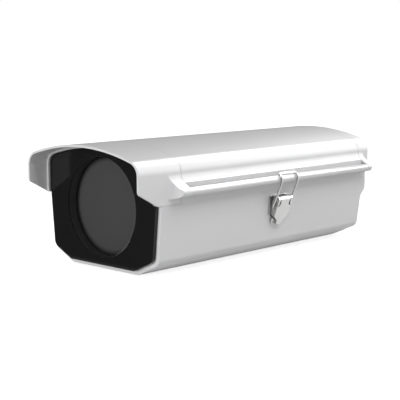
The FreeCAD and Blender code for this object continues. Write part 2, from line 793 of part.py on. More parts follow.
def latch_plate():
    """Pressed plate on the wall with two ears that hold the lever's pin."""
    half = latch_plate_half
    tongue = latch_tongue_half
    outline = rounded([
        (latch_y - tongue, -latch_tongue_low, 2), (latch_y + tongue, -latch_tongue_low, 2),
        (latch_y + tongue, -latch_tongue_top), (latch_y + half, -latch_plate_low, 1.5),
        (latch_y + half, -latch_plate_top, 2), (latch_y - half, -latch_plate_top, 2),
        (latch_y - half, -latch_plate_low, 1.5), (latch_y - tongue, -latch_tongue_top),
    ])
    plate = along_x(outline, 0, latch_plate_wall)
    turn = math.radians(wall_angle)
    dx = pivot_x - base_top_half
    dz = pivot_z - parting_z
    px = dx * math.cos(turn) - dz * math.sin(turn)
    pz = dx * math.sin(turn) + dz * math.cos(turn)
    root = latch_plate_wall / 3
    shapes = [plate]
    for sign in (-1, 1):
        y0, y1 = sorted((latch_y + sign * ear_inner, latch_y + sign * (ear_inner + ear_wall)))
        ear = along_y(rounded([(root, pz - ear_r - ear_foot), (px, pz - ear_r), (px, pz + ear_r),
                               (root, pz + ear_r + 0.2)]), y0, y1)
        ear = ear.fuse(rod_y(ear_r, y0, y1, px, pz))
        shapes.append(ear.cut(rod_y(latch_pin_r + pin_fit, y0 - 1, y1 + 1, px, pz)))
    plate = on_wall(joined(shapes))
    return plate.cut([wall_hole(m3["pass"], y, z) for y, z in latch_screw_places()])


def lever_to_place(shape):
    """Carry the lever, drawn hanging straight down from its pin, to its closed lean."""
    moved = shape.copy()
    moved.rotate(V(0, 0, 0), V(0, 1, 0), lever_lean)
    moved.translate(V(pivot_x, latch_y, pivot_z))
    return moved


def lever_point(out, down):
    """Cross-section point of the closed lever, from its pin outwards and down its face."""
    lean = math.radians(lever_lean)
    return (pivot_x + out * math.cos(lean) - down * math.sin(lean),
            pivot_z - out * math.sin(lean) - down * math.cos(lean))


def plate_face_x(z):
    """Outer face of the latch plate on the drafted wall."""
    return wall_x(z) + latch_plate_wall / math.cos(math.radians(wall_angle))


def latch_lever():
    """Pressed lever: rolled barrel with slots for the ears, tapered face and two flanks."""
    half = lever_half
    tip = lever_tip_half
    right = [
        (tip, -lever_length, 1.6), (tip + 0.7, -lever_taper_low, 1.5),
        (half - 1.5, -lever_taper_low + 2.8, 2), (half, -lever_taper_top, 4), (half, 0),
    ]
    outline = rounded(right + [(-point[0], *point[1:]) for point in reversed(right)])
    front = along_x(outline, barrel_r - lever_wall, barrel_r)
    blank = front.fuse(rod_y(barrel_r, -half, half, 0, 0))
    cuts = []
    for sign in (-1, 1):
        y0, y1 = sorted((sign * (ear_inner - ear_slot_gap),
                         sign * (ear_inner + ear_wall + ear_slot_gap)))
        cuts.append(block(-2 * barrel_r, 2 * barrel_r, y0, y1, -slot_low, 2 * barrel_r))
        hook_y, hook_z, hook_r = slot_hook
        hole = (y0 + y1) / 2 + sign * hook_y
        cuts.append(Part.makeCylinder(hook_r, 2 * barrel_r, V(0.5, hole, -slot_low - hook_z + 1),
                                      V(1, 0, 0)))
    shapes = [lever_to_place(blank.cut(cuts))]
    top_z = pivot_z - 0.5
    for sign in (-1, 1):
        y0, y1 = sorted((latch_y + sign * half, latch_y + sign * (half - lever_wall)))
        shapes.append(along_y(rounded([
            lever_point(barrel_r - 0.3, 0), (plate_face_x(top_z) + flank_plate_gap, top_z, 1.2),
            (plate_face_x(flank_low_z) + flank_plate_gap, flank_low_z, 1.2),
            lever_point(barrel_r - 0.3, flank_low_down)]), y0, y1))
    lever = joined(shapes)
    return lever.cut([
        rod_y(latch_pin_r + pin_fit, -beyond, beyond, pivot_x, pivot_z),
        rod_y(wire_r + 0.07, -beyond, latch_y + beyond, bail_pivot_x, bail_pivot_z)])


def tangent_wire(points):
    """Path of straight runs and tangent arcs through points (vector, corner radius)."""
    edges = []
    at = points[0][0]
    for i in range(1, len(points) - 1):
        corner, radius = points[i]
        back = (points[i - 1][0] - corner).normalize()
        ahead = (points[i + 1][0] - corner).normalize()
        half_angle = back.getAngle(ahead) / 2
        reach = radius / math.tan(half_angle)
        middle = corner + (back + ahead).normalize() * (radius / math.sin(half_angle) - radius)
        edges.append(Part.makeLine(at, corner + back * reach))
        edges.append(Part.Arc(corner + back * reach, middle, corner + ahead * reach).toShape())
        at = corner + ahead * reach
    edges.append(Part.makeLine(at, points[-1][0]))
    return Part.Wire(edges)


def latch_bail():
    """Round wire bail: its ends turn into the lever's flanks, its top lies over the rod."""
    out_x = rod_x + rod_r + bail_clearance + wire_r
    left = [
        (V(bail_pivot_x, latch_y - lever_half + lever_wall + 0.6, bail_pivot_z), 0),
        (V(bail_pivot_x, latch_y - bail_half, bail_pivot_z), 1.5),
        (V(out_x, latch_y - bail_half, bail_knee_z), 12.0),
        (V(out_x, latch_y - bail_half, bail_top_z - 2.6), 3.0),
        (V(bail_top_x, latch_y - bail_half, bail_top_z), 2.4),
    ]
    right = [(V(p.x, 2 * latch_y - p.y, p.z), r) for p, r in reversed(left)]
    path = tangent_wire(left + right)
    start = left[0][0]
    ring_edge = Part.Wire([Part.makeCircle(wire_r, start, V(0, 1, 0))])
    bail = path.makePipeShell([ring_edge], True, True)
    print(f"bail volume {bail.Volume:.2f}, section times length"
          f" {math.pi * wire_r ** 2 * path.Length:.2f}")
    return bail


def hinge_leaves(centre):
    """Base leaf and lid leaf of one hinge, folded to the same pin."""
    half = hinge_length / 2
    y0 = centre - half
    y1 = centre + half
    mid = hinge_length / 4
    bore = rod_y(hinge_pin_r + hinge_fit, y0 - 1, y1 + 1, hinge_x, hinge_z)
    flat = along_x(rounded([(y0, -leaf_low, leaf_round), (y1, -leaf_low, leaf_round),
                            (y1, -leaf_high), (y0, -leaf_high)]), 0, leaf_wall)
    arm_z = parting_z - leaf_high
    arm = along_y(rounded([
        (-wall_x(arm_z) - 0.1, arm_z - 2.0), (hinge_x - knuckle_r * 0.5, hinge_z - knuckle_r * 0.8),
        (hinge_x + knuckle_r * 0.9, hinge_z - knuckle_r * 0.3),
        (-wall_x(arm_z) - 0.1, arm_z)]), centre - mid, centre + mid)
    knuckle = rod_y(knuckle_r, centre - mid, centre + mid, hinge_x, hinge_z)
    base_leaf = joined([on_wall(flat, True), arm, knuckle]).cut(bore)
    base_leaf = base_leaf.cut([wall_hole(m4["pass"], y, leaf_screw_z, True)
                               for y in hinge_screw_ys(centre)])
    foot_z = skirt_low_z + 0.4
    outer_x = -skirt_half - leaf_wall
    pieces = [along_x(rounded([(y0, foot_z), (y1, foot_z), (y1, lid_leaf_top_z, leaf_round),
                               (y0, lid_leaf_top_z, leaf_round)]), outer_x, -skirt_half)]
    for a, b in ((y0, centre - mid - knuckle_gap), (centre + mid + knuckle_gap, y1)):
        pieces.append(rod_y(knuckle_r, a, b, hinge_x, hinge_z))
        pieces.append(along_y(rounded([
            (hinge_x - knuckle_r * 0.5, hinge_z + knuckle_r * 0.8),
            (hinge_x + knuckle_r * 0.9, hinge_z + knuckle_r * 0.3),
            (-skirt_half, foot_z), (-skirt_half, foot_z + 1.5), (outer_x, foot_z + 1.5)]), a, b))
    lid_leaf = joined(pieces).cut(bore)
    drills = [Part.makeCylinder(m3["pass"], 10, V(-skirt_half - 5, y, lid_leaf_screw_z),
                                V(1, 0, 0)) for y in hinge_screw_ys(centre)]
    return base_leaf, lid_leaf.cut(drills)


def hinge_pin(centre):
    reach = hinge_length / 2 + pin_head_gap
    pin = rod_y(hinge_pin_r, centre - reach, centre + reach, hinge_x, hinge_z)
    heads = [rod_y(hinge_pin_r + pin_head_rise, y, y + pin_head_wall, hinge_x, hinge_z)
             for y in (centre - reach - pin_head_wall, centre + reach)]
    return joined([pin] + heads)


def camera_plate():
    """Slotted plate for the camera, with turned-down long edges."""
    outline = rounded([
        (-plate_half_x, -plate_half_y, 4), (plate_half_x, -plate_half_y, 4),
        (plate_half_x, plate_half_y, 4), (-plate_half_x, plate_half_y, 4)])
    plate = along_z(outline, plate_z, plate_z + plate_wall)
    lips = []
    for s in (-1, 1):
        x0, x1 = sorted((s * plate_half_x, s * (plate_half_x - plate_wall)))
        lips.append(block(x0, x1, 1.2 * plate_lip - plate_half_y, plate_half_y - 1.2 * plate_lip,
                          plate_z - plate_lip, plate_z + plate_wall / 2))
    plate = joined([plate] + lips)
    cuts = [post(m4["pass"], plate_z - 1, plate_z + plate_wall + 1, x, y)
            for x, y in plate_places]
    for x in (-slot_spacing, 0.0, slot_spacing):
        half = plate_half_y - slot_end_gap - (side_slot_short if x else 0)
        cuts.append(along_z(rounded([
            (x - slot_half, -half, slot_half - 0.01), (x + slot_half, -half, slot_half - 0.01),
            (x + slot_half, half, slot_half - 0.01), (x - slot_half, half, slot_half - 0.01)]),
            plate_z - 1, plate_z + plate_wall + 1))
    return plate.cut(cuts)


def camera_screw():
    """Knurled quarter-inch screw that holds the camera from below its plate."""
    head_top = plate_z - washer_wall
    head = post(knob_r, knob_low_z, head_top, 0, camera_screw_y)
    grooves = []
    for i in range(knob_grooves):
        angle = 2 * math.pi * i / knob_grooves
        reach = knob_r + 0.1
        grooves.append(post(0.7, knob_low_z - 1, plate_z, reach * math.cos(angle),
                            camera_screw_y + reach * math.sin(angle)))
    shank = post(camera_shank_r, head_top - 0.1, plate_z + plate_wall + camera_shank_rise,
                 0, camera_screw_y)
    washer = post(washer_r, head_top, plate_z, 0, camera_screw_y)
    washer = washer.cut(post(camera_shank_r + 0.2, plate_z - 2, plate_z + 1, 0,
                             camera_screw_y))
    return head.cut(grooves).fuse(shank).removeSplitter(), washer


def board_parts():
    """Terminal board on four posts, with its two screw terminal blocks."""
    board = block(-board_half_x, board_half_x, board_front_y, board_rear_y,
                  board_z, board_z + board_wall)
    board = board.cut([post(m3["pass"], board_z - 1, board_z + 3, x, y)
                       for x, y in board_places])
    blocks = []
    top = board_z + board_wall
    y0 = board_front_y + block_inset
    y1 = y0 + block_depth
    mid = (y0 + y1) / 2
    for x0 in block_starts:
        body = along_x(rounded([
            (y0, top), (y1, top), (y1, top + block_shoulder),
            (y1 - block_slant, top + block_height), (y0 + block_slant, top + block_height),
            (y0, top + block_shoulder)]), x0, x0 + block_ways * block_pitch)
        cuts = []
        for i in range(block_ways):
            x = x0 + block_pitch * (i + 0.5)
            cuts.append(post(1.9, top + block_height - 3, top + beyond, x, mid))
            cuts.append(rod_y(1.5, y0 - 1, y0 + 3, x, top + 3))
        blocks.append(body.cut(cuts))
    return board, blocks


def hexagon(across, y0, y1, x, z):
    radius = across / math.sqrt(3)
    points = [(x + radius * math.cos(math.radians(60 * i)),
               z + radius * math.sin(math.radians(60 * i))) for i in range(6)]
    return along_y(rounded(points), y0, y1)


def gland(x):
    """Cable gland: body, dome nut, rubber bush and inner lock nut."""
    wall_out = gland_face_y
    wall_in = rear_wall_y(gland_z - gland_flange_r) - base_wall
    hex_y = wall_out + gland_flange_wall
    nut_y0 = hex_y + gland_hex_depth + gland_nut_gap
    nut_y1 = nut_y0 + gland_nut_depth
    sleeve_y1 = nut_y1 - 0.5
    flange = tube_y(gland_flange_r, gland_bore_r + 1.2, wall_out, hex_y, x, gland_z)
    hexed = hexagon(gland_hex_flats, hex_y, hex_y + gland_hex_depth, x, gland_z)
    thread = rod_y(gland_thread_r, wall_in - 6, wall_out + 0.5, x, gland_z)
    sleeve = rod_y(gland_sleeve_r, hex_y, sleeve_y1, x, gland_z)
    body = joined([flange, hexed, thread, sleeve])
    body = body.cut(rod_y(gland_bore_r + 0.3, wall_in - 10, sleeve_y1 + 1, x, gland_z))
    dome = Part.makeCone(gland_hex_flats / 2, gland_dome_r, gland_dome, V(x, nut_y1, gland_z),
                         V(0, 1, 0))
    nut = joined([hexagon(gland_hex_flats, nut_y0, nut_y1, x, gland_z), dome])
    nut = nut.cut(rod_y(gland_sleeve_r + 0.15, nut_y0 - 1, nut_y1 - 0.2, x, gland_z))
    nut = nut.cut(rod_y(cable_r + 0.9, nut_y0 - 1, nut_y1 + beyond, x, gland_z))
    bush = tube_y(gland_bore_r + 0.1, cable_r, wall_out + 3, sleeve_y1 + 0.1, x, gland_z)
    lock_y1 = wall_in - 0.1
    lock = hexagon(gland_hex_flats + 1, lock_y1 - gland_lock_wall, lock_y1, x, gland_z)
    lock = lock.cut(rod_y(gland_thread_r + 0.1, wall_in - 10, wall_out, x, gland_z))
    return body, nut, bush, lock


def build():
    save("base_tray", [base_tray()])
    save("window_bezel", [window_bezel()])
    seal, gasket, glass, retainer = window_parts()
    save("bezel_seal", [seal])
    save("glass_gasket", [gasket])
    save("window_glass", [glass])
    save("glass_retainer", [retainer])
    rim_back = base_front_y + front_rim_depth
    save("bezel_screws", [pan_screw(m3, front_rim_depth + 2.8, V(x, rim_back, z), V(0, -1, 0))
                          for x, z in bezel_screws])
    save("base_seal", [base_seal()])

    save("lid_cover", [lid_cover()])
    save("hood", [hood()])
    save("rear_cap", [rear_cap()])
    ring_front = front_seam_y - seam_gap / 2 - ring_depth
    ring_back = rear_seam_y + seam_gap / 2 + ring_depth
    save("hood_screws", [pan_screw(m3, 12, V(x, ring_front, z), V(0, 1, 0))
                         for x, z in port_places()])
    save("cap_screws", [pan_screw(m3, 12, V(x, ring_back, z), V(0, -1, 0))
                        for x, z in port_places()])
    save("latch_rod", [latch_rod()])

    save("latch_plate", [latch_plate()])
    save("latch_lever", [latch_lever()])
    save("latch_bail", [latch_bail()])
    save("latch_pin", [rod_y(latch_pin_r, latch_y - lever_half - 0.3, latch_y + lever_half + 0.3,
                             pivot_x, pivot_z)])
    save("latch_screws", [wall_screw(m3_low, 5, y, z, latch_plate_wall)
                          for y, z in latch_screw_places()])

    leaves = [hinge_leaves(centre) for centre in hinge_centres]
    save("hinge_base_leaves", [pair[0] for pair in leaves])
    save("hinge_lid_leaves", [pair[1] for pair in leaves])
    save("hinge_pins", [hinge_pin(centre) for centre in hinge_centres])
    save("hinge_base_screws", [wall_screw(m4, 6, y, leaf_screw_z, leaf_wall, True)
                               for centre in hinge_centres for y in hinge_screw_ys(centre)])
    save("hinge_lid_screws", [
        pan_screw(m3, leaf_wall + cover_wall - 0.1, V(-skirt_half - leaf_wall, y, lid_leaf_screw_z),
                  V(1, 0, 0))
        for centre in hinge_centres for y in hinge_screw_ys(centre)])

    save("camera_plate", [camera_plate()])
    plate_top = plate_z + plate_wall
    save("plate_screws", [pan_screw(m4, 10, V(x, y, plate_top), V(0, 0, -1))
                          for x, y in plate_places])
    knob, washer = camera_screw()
    save("camera_screw", [knob])
    save("camera_washer", [washer])
    board, blocks = board_parts()
    save("terminal_board", [board])
    save("terminal_blocks", blocks)
    save("board_screws", [pan_screw(m3, 6, V(x, y, board_z + board_wall), V(0, 0, -1))
                          for x, y in board_places])
    save("earth_screw", [pan_screw(m4, 5, V(*earth_place, earth_z), V(0, 0, -1))])

    glands = [gland(x) for x in gland_places()]
    for index, name in enumerate(("gland_bodies", "gland_nuts", "gland_bushes",
                                  "gland_locknuts")):
        save(name, [parts[index] for parts in glands])


build()
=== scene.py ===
# %% [markdown]
# A security camera housing, dressed for a studio picture
# The solids come from the CAD model and stay exactly where they are. This lesson gives each of
# them the finish of the real piece, adds the fine things that are too small for the solids, such
# as screw threads and terminal screws, and then builds a plain pale studio round the object.
# Everything is in metres, with X towards the latch, Y towards the rear and Z up.

# %% Load the solids
import math
import bmesh
import bpy
from mathutils import Matrix, Vector


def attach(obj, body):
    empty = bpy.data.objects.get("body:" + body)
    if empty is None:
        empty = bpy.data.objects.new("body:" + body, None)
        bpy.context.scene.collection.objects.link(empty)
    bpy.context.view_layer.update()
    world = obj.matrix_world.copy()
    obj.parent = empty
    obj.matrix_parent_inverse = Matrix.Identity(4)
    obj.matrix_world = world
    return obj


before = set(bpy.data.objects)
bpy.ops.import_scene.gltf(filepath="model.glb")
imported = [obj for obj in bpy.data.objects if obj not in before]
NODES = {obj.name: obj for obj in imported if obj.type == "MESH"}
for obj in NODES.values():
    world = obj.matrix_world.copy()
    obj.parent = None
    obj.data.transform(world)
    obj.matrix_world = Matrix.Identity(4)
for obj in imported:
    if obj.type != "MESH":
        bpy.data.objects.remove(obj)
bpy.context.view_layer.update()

# %% [markdown]
# Colours are written as the hex values that a paint chart or a photo editor shows. Blender
# computes light with linear numbers, so one function turns the first kind into the second.

# %% Colours


def colour(code):
    """Linear RGBA of an sRGB hex colour such as '#C8C9CA'."""
    parts = [int(code[i:i + 2], 16) / 255 for i in (1, 3, 5)]
    linear = [p / 12.92 if p <= 0.04045 else ((p + 0.055) / 1.055) ** 2.4 for p in parts]
    return (*linear, 1.0)


print("light grey as linear", [round(c, 3) for c in colour("#C8C9CA")])

# %% [markdown]
# A material is a small graph of nodes. One function adds a node, sets its sockets and
# properties and connects its inputs, so each finish below reads as a short recipe. Sockets that
# share a name, such as the two colours of a Mix node, are told apart by their number.

# %% Adding a node
FIRST, SECOND, MIXED = 6, 7, 2  # the two colours that a Mix node takes, and the one it gives


def put(tree, kind, links=None, numbered=None, **settings):
    """Add a node. Links give an input the output that feeds it, numbered gives a numbered
    input its value, and settings name sockets or properties."""
    item = tree.nodes.new(kind)
    for name, value in settings.items():
        socket = item.inputs.get(name.replace("_", " "))
        if socket is not None:
            socket.default_value = value
        else:
            setattr(item, name, value)
    for number, value in (numbered or {}).items():
        item.inputs[number].default_value = value
    for name, source in (links or {}).items():
        tree.links.new(source, item.inputs[name])
    return item


# %% [markdown]
# Every recipe starts from an empty material and Object coordinates. The solids are modelled in
# their place with their objects at the origin, so these coordinates are plain metres, and the
# scale of a pattern is one over its real size. Each recipe names those sizes on its first line.
# A second helper gives a finish to solids by name.

# %% Starting and using a material
dressed = []


def finish_named(name):
    """An empty material, its node tree and its Object coordinates."""
    material = bpy.data.materials.new(name)
    material.use_nodes = True
    tree = material.node_tree
    tree.nodes.clear()
    where = put(tree, "ShaderNodeTexCoord").outputs["Object"]
    return material, tree, where


def dress(material, *names):
    """Give solids a finish in place of the one that they came with."""
    for name in names:
        mesh = NODES[name].data
        mesh.materials.clear()
        mesh.materials.append(material)
    dressed.extend(names)
    print(material.name, "on", ", ".join(names))


# %% [markdown]
# Polyester powder coat covers the die-cast and extruded aluminium. The powder melts and levels
# in an oven, which leaves a satin skin with a faint orange peel about a millimetre across. That
# is too shallow to model, so it is a bump, and the tone drifts very slightly over a hand's
# width. The coat also rounds every corner of a casting, so a Bevel node softens the normals at
# the edges. The rod is a drawn bar, on which the same white levels to a higher gloss.

# %% Powder coat


def powder_coat(name, smoothest, roughest):
    """White powder coat whose roughness lies between two values."""
    drift, dimple, corner = 0.09, 0.0014, 0.0004
    material, tree, where = finish_named(name)
    cloud = put(tree, "ShaderNodeTexNoise", {"Vector": where}, Scale=1 / drift, Detail=2.0)
    peel = put(tree, "ShaderNodeTexNoise", {"Vector": where}, Scale=1 / dimple, Detail=1.0)
    soft_edge = put(tree, "ShaderNodeBevel", samples=6, Radius=corner)
    bump = put(tree, "ShaderNodeBump", {"Height": peel.outputs["Fac"],
                                        "Normal": soft_edge.outputs["Normal"]},
               Strength=0.12, Distance=0.00012)
    base = put(tree, "ShaderNodeMix", {"Factor": cloud.outputs["Fac"]},
               {FIRST: colour("#DBDBDC"), SECOND: colour("#D6D6D7")}, data_type="RGBA")
    rough = put(tree, "ShaderNodeMapRange", {"Value": peel.outputs["Fac"]},
                To_Min=smoothest, To_Max=roughest)
    coat = put(tree, "ShaderNodeBsdfPrincipled",
               {"Base Color": base.outputs[MIXED], "Roughness": rough.outputs["Result"],
                "Normal": bump.outputs["Normal"]}, IOR=1.5, Specular_IOR_Level=0.35)
    put(tree, "ShaderNodeOutputMaterial", {"Surface": coat.outputs["BSDF"]})
    return material


PAINT = powder_coat("powder_coated_aluminium", 0.36, 0.46)
ROD_PAINT = powder_coat("gloss_coated_rod", 0.14, 0.22)
dress(PAINT, "base_tray", "lid_cover", "hood", "rear_cap")
dress(ROD_PAINT, "latch_rod")

# %% [markdown]
# The window surround is injection-moulded gloss ABS, black all through. Its skin copies a
# polished mould, so it is very smooth, with only a slow waviness where the plastic has shrunk.
# The round recess in front of the glass comes from a matt, spark-eroded part of the mould, as on
# most such housings, so that it throws no glare into the lens, and it is rougher here. Its colour
# is also painted lighter than the plate, a painted lift of light against the shade that falls in
# the recess, so that its wall shows no darker than the plate. It could be a second material, but
# it is one moulding, so one recipe tells recess from plate by the depth and by the distance from
# the window's axis.

# %% Distance from the window's axis
WINDOW_Z = 0.0553


def from_window_axis(tree, where):
    """Distance from the axis of the round window, which runs along Y."""
    flat = put(tree, "ShaderNodeVectorMath", {0: where}, {1: (1.0, 0.0, 1.0)},
               operation="MULTIPLY")
    off_axis = put(tree, "ShaderNodeVectorMath", {0: flat.outputs[0]},
                   {1: (0.0, 0.0, WINDOW_Z)}, operation="SUBTRACT")
    return put(tree, "ShaderNodeVectorMath", {0: off_axis.outputs[0]},
               operation="LENGTH").outputs["Value"]


print("window axis at height", WINDOW_Z)

# %% [markdown]
# The matt finish and the painted lighter tone begin half a millimetre inside the lip of the
# recess, where its wall starts, and are full a millimetre and a half further in.

# %% Gloss black moulding
BEZEL_FRONT_Y = -0.14135
MATT_AND_PAINTED_LIGHT_RADIUS = (0.0447, 0.0444)  # none outside the first, full inside the second
MATT_AND_PAINTED_LIGHT_DEPTH = (0.0005, 0.0020)   # none before the first, full behind the second


def gloss_black():
    """Black ABS with a polished plate and a matt recess, painted lighter to offset its shade."""
    shrinkage, corner = 0.03, 0.0007
    material, tree, where = finish_named("gloss_black_abs")
    sink = put(tree, "ShaderNodeTexNoise", {"Vector": where}, Scale=1 / shrinkage, Detail=1.0)
    soft_edge = put(tree, "ShaderNodeBevel", samples=6, Radius=corner)
    bump = put(tree, "ShaderNodeBump", {"Height": sink.outputs["Fac"],
                                        "Normal": soft_edge.outputs["Normal"]},
               Strength=0.05, Distance=0.0004)
    inside = put(tree, "ShaderNodeMapRange", {"Value": from_window_axis(tree, where)},
                 From_Min=MATT_AND_PAINTED_LIGHT_RADIUS[0], From_Max=MATT_AND_PAINTED_LIGHT_RADIUS[1])
    depth = put(tree, "ShaderNodeSeparateXYZ", {"Vector": where}).outputs["Y"]
    deep = put(tree, "ShaderNodeMapRange", {"Value": depth},
               From_Min=BEZEL_FRONT_Y + MATT_AND_PAINTED_LIGHT_DEPTH[0], From_Max=BEZEL_FRONT_Y + MATT_AND_PAINTED_LIGHT_DEPTH[1])
    recess = put(tree, "ShaderNodeMath", {0: inside.outputs["Result"],
                                          1: deep.outputs["Result"]}, operation="MULTIPLY")
    # painted light: the recess is coloured lighter than the plate to offset the shade that falls in
    # it
    base = put(tree, "ShaderNodeMix", {"Factor": recess.outputs[0]},
               {FIRST: colour("#1D1D1E"), SECOND: colour("#3A3A3B")}, data_type="RGBA")
    rough = put(tree, "ShaderNodeMapRange", {"Value": recess.outputs[0]},
                To_Min=0.13, To_Max=0.55)
    plastic = put(tree, "ShaderNodeBsdfPrincipled",
                  {"Base Color": base.outputs[MIXED], "Roughness": rough.outputs["Result"],
                   "Normal": bump.outputs["Normal"]}, IOR=1.5, Specular_IOR_Level=0.4)
    put(tree, "ShaderNodeOutputMaterial", {"Surface": plastic.outputs["BSDF"]})
    return material


BLACK = gloss_black()
dress(BLACK, "window_bezel")

# %% [markdown]
# The window is a disc of smoked tempered glass, 3 mm thick. The smoke is dense, so it reads as
# an even grey and lets only a trace of the inside through. A black ceramic band is fired onto
# its rim, as on a car's windscreen, to hide the gasket. Its soft fade inwards is painted shade,
# the darkening that the recess wall throws and mirrors onto the edge of the glass, and it is
# drawn by the same distance from the window's axis. A thin film of dust varies the gloss.

# %% Smoked glass
RIM_PRINT_AND_SHADE_RADIUS = (0.0385, 0.0440)  # clear inside the first, full black from the second


def smoked_glass():
    """Dark glass with a fired black rim print whose soft inward fade is painted shade."""
    wipe_mark = 0.02
    material, tree, where = finish_named("smoked_tempered_glass")
    film = put(tree, "ShaderNodeTexNoise", {"Vector": where}, Scale=1 / wipe_mark, Detail=3.0)
    # painted shade: the black band's soft inward fade stands in for the recess wall's shade and
    # reflection on the glass's edge
    rim_print_and_shade = put(tree, "ShaderNodeMapRange", {"Value": from_window_axis(tree, where)},
                 interpolation_type="SMOOTHSTEP",
                 From_Min=RIM_PRINT_AND_SHADE_RADIUS[0], From_Max=RIM_PRINT_AND_SHADE_RADIUS[1])
    base = put(tree, "ShaderNodeMix", {"Factor": rim_print_and_shade.outputs["Result"]},
               {FIRST: colour("#4B4B4C"), SECOND: colour("#222223")}, data_type="RGBA")
    rough = put(tree, "ShaderNodeMapRange", {"Value": film.outputs["Fac"]},
                To_Min=0.03, To_Max=0.08)
    glass = put(tree, "ShaderNodeBsdfPrincipled",
                {"Base Color": base.outputs[MIXED], "Roughness": rough.outputs["Result"]},
                IOR=1.52, Transmission_Weight=0.02)
    put(tree, "ShaderNodeOutputMaterial", {"Surface": glass.outputs["BSDF"]})
    return material


GLASS = smoked_glass()
dress(GLASS, "window_glass")

# %% [markdown]
# The latch and the hinges are stainless steel, pressed or drawn and then tumbled. Tumbling
# leaves very fine scratches in every direction, so the gloss is broad and even and carries a
# fine grain. The real grain is about a tenth of a millimetre. It is drawn coarser, at 0.8 mm,
# because at this distance the true one would show as nothing.

# %% Stainless steel


def stainless():
    """Tumbled stainless steel."""
    scratch, stain_width, corner = 0.0008, 0.012, 0.0003
    material, tree, where = finish_named("tumbled_stainless_steel")
    grain = put(tree, "ShaderNodeTexNoise", {"Vector": where}, Scale=1 / scratch, Detail=3.0)
    stain = put(tree, "ShaderNodeTexNoise", {"Vector": where}, Scale=1 / stain_width, Detail=2.0)
    soft_edge = put(tree, "ShaderNodeBevel", samples=6, Radius=corner)
    bump = put(tree, "ShaderNodeBump", {"Height": grain.outputs["Fac"],
                                        "Normal": soft_edge.outputs["Normal"]},
               Strength=0.15, Distance=0.00004)
    base = put(tree, "ShaderNodeMix", {"Factor": stain.outputs["Fac"]},
               {FIRST: colour("#C4C4C3"), SECOND: colour("#BBBBBA")}, data_type="RGBA")
    rough = put(tree, "ShaderNodeMapRange", {"Value": grain.outputs["Fac"]},
                To_Min=0.34, To_Max=0.46)
    metal = put(tree, "ShaderNodeBsdfPrincipled",
                {"Base Color": base.outputs[MIXED], "Roughness": rough.outputs["Result"],
                 "Normal": bump.outputs["Normal"]}, Metallic=1.0)
    put(tree, "ShaderNodeOutputMaterial", {"Surface": metal.outputs["BSDF"]})
    return material


STEEL = stainless()
dress(STEEL, "latch_plate", "latch_lever", "latch_bail", "latch_pin", "latch_screws",
      "hinge_base_leaves", "hinge_lid_leaves", "hinge_pins", "hinge_base_screws",
      "hinge_lid_screws", "camera_screw")

# %% [markdown]
# Three more finishes are plain metals that differ only in their colour, their gloss and the size
# of their cloudiness, so one recipe makes them all. The small screws are zinc-plated steel, a
# bluish bright plating. The earth screw is turned brass. The tracks on the board are copper
# under tin, which pools as it sets.

# %% Plain metals


def plain_metal(name, first, second, cloud_width, detail, smoothest, roughest):
    """A metal whose tone and gloss drift together between two colours."""
    material, tree, where = finish_named(name)
    cloud = put(tree, "ShaderNodeTexNoise", {"Vector": where}, Scale=1 / cloud_width,
                Detail=detail)
    base = put(tree, "ShaderNodeMix", {"Factor": cloud.outputs["Fac"]},
               {FIRST: colour(first), SECOND: colour(second)}, data_type="RGBA")
    rough = put(tree, "ShaderNodeMapRange", {"Value": cloud.outputs["Fac"]},
                To_Min=smoothest, To_Max=roughest)
    metal = put(tree, "ShaderNodeBsdfPrincipled",
                {"Base Color": base.outputs[MIXED], "Roughness": rough.outputs["Result"]},
                Metallic=1.0)
    put(tree, "ShaderNodeOutputMaterial", {"Surface": metal.outputs["BSDF"]})
    return material


ZINC = plain_metal("zinc_plated_steel", "#B9BCC0", "#A7ABB0", 0.002, 3.0, 0.26, 0.42)
BRASS = plain_metal("turned_brass", "#C9A75A", "#B8934A", 0.001, 2.0, 0.22, 0.36)
TRACKS = plain_metal("tinned_copper_track", "#C4C2BC", "#AFADA6", 0.0015, 2.0, 0.25, 0.45)
dress(ZINC, "bezel_screws", "hood_screws", "cap_screws", "plate_screws", "board_screws")
dress(BRASS, "earth_screw")

# %% [markdown]
# The slotted plate inside is sheet aluminium, left as rolled: the mill's rollers leave long
# faint lines along the plate. The noise is stretched along Y to draw them.

# %% Mill-finish aluminium


def mill_aluminium():
    """Rolled sheet with faint lines along Y."""
    line, stretched = 0.0007, 0.03
    material, tree, where = finish_named("mill_finish_aluminium")
    along = put(tree, "ShaderNodeMapping", {"Vector": where}, Scale=(1.0, stretched, 1.0))
    lines = put(tree, "ShaderNodeTexNoise", {"Vector": along.outputs["Vector"]},
                Scale=1 / line, Detail=3.0)
    bump = put(tree, "ShaderNodeBump", {"Height": lines.outputs["Fac"]},
               Strength=0.2, Distance=0.00003)
    base = put(tree, "ShaderNodeMix", {"Factor": lines.outputs["Fac"]},
               {FIRST: colour("#D2D3D5"), SECOND: colour("#C0C2C4")}, data_type="RGBA")
    rough = put(tree, "ShaderNodeMapRange", {"Value": lines.outputs["Fac"]},
                To_Min=0.30, To_Max=0.45)
    metal = put(tree, "ShaderNodeBsdfPrincipled",
                {"Base Color": base.outputs[MIXED], "Roughness": rough.outputs["Result"],
                 "Normal": bump.outputs["Normal"]}, Metallic=1.0)
    put(tree, "ShaderNodeOutputMaterial", {"Surface": metal.outputs["BSDF"]})
    return material


SHEET = mill_aluminium()
dress(SHEET, "camera_plate")

# %% [markdown]
# Seals and bushes are black EPDM rubber, cut from extruded cord or moulded. It is matt, finely
# pitted, and slightly grey in patches from its bloom, the wax that rubber sweats out. The pits
# are drawn at 0.6 mm, coarser than the real ones, so that they show.

# %% Rubber


